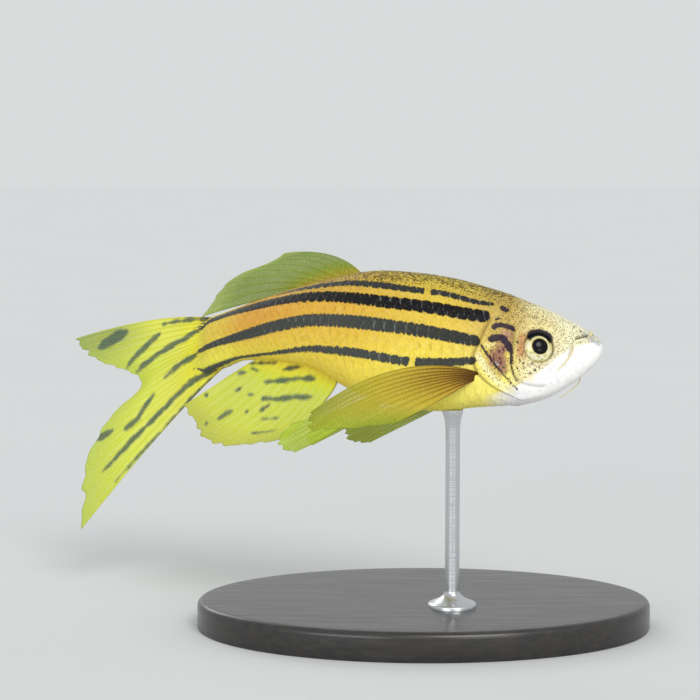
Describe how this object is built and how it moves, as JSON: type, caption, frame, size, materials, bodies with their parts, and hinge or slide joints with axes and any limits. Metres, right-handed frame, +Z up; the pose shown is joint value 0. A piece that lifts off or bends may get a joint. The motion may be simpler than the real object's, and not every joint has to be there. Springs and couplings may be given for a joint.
{
  "type": "zebra danio display model, long-finned",
  "caption": "Life-size still model of a long-finned striped minnow, banking in a turn, held by one thin rod on a flat oval display stand.",
  "frame": {"origin": "middle of the stand's flat underside", "axes": "+X the way the head points, +Y the side that the tail bends to, +Z up"},
  "size_m": [0.051, 0.0357, 0.0313],
  "materials": {
    "flesh": "painted skin, satin; stands for scaled skin",
    "fin_membrane": "thin tinted membrane with raised rays",
    "eye_surface": "gloss",
    "barbel_skin": "satin",
    "stand_board": "black lacquer",
    "stand_steel": "turned steel"
  },
  "bodies": {
    "root": {"head": "flesh", "trunk": "flesh", "tail_stalk": "flesh", "eye_left": "eye_surface", "eye_right": "eye_surface", "barbel_rostral_left": "barbel_skin", "barbel_rostral_right": "barbel_skin", "barbel_maxillary_left": "barbel_skin", "barbel_maxillary_right": "barbel_skin", "dorsal_fin": "fin_membrane", "anal_fin": "fin_membrane", "caudal_fin_upper": "fin_membrane", "caudal_fin_lower": "fin_membrane", "pectoral_fin_left": "fin_membrane", "pectoral_fin_right": "fin_membrane", "pelvic_fin_left": "fin_membrane", "pelvic_fin_right": "fin_membrane", "stand_base": "stand_board", "stand_rod": "stand_steel"}
  },
  "joints": []
}
